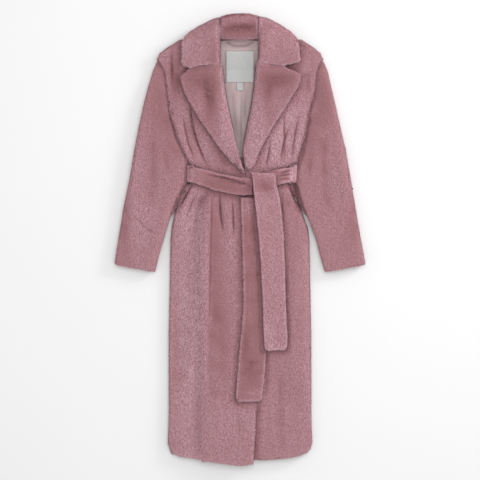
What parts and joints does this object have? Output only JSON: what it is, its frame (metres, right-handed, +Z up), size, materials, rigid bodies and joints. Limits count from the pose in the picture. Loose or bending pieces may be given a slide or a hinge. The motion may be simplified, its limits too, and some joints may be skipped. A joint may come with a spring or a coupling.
{
  "type": "faux fur coat",
  "caption": "Long faux fur wrap coat with a wide notched collar, long sleeves and a tied belt, laid flat on its back; open at the cuffs and hem.",
  "frame": {"origin": "centre of the bounding box, on the floor that the coat lies on", "axes": "+Z up off the floor, +Y from the hem to the collar, +X to the coat's own left sleeve"},
  "size_m": [0.686, 1.2229, 0.058],
  "materials": {
    "rose_fur": "short dense faux fur pile in dusty rose",
    "rose_satin": "smooth pale rose lining cloth",
    "woven_label": "blank pale woven label"
  },
  "bodies": {
    "root": {"back": "rose_fur", "front_right": "rose_fur", "front_left": "rose_fur", "sleeve_right": "rose_fur", "sleeve_left": "rose_fur", "lapel_right": "rose_fur", "lapel_left": "rose_fur", "collar_right": "rose_fur", "collar_left": "rose_fur", "collar_stand": "rose_fur", "collar_fall": "rose_fur", "belt_right": "rose_fur", "belt_left": "rose_fur", "belt_back": "rose_fur", "belt_tail_front": "rose_fur", "belt_tail_back": "rose_fur", "lining": "rose_satin", "neck_facing": "rose_satin", "hanger_loop": "rose_satin", "label": "woven_label", "size_tag": "woven_label"}
  },
  "joints": []
}
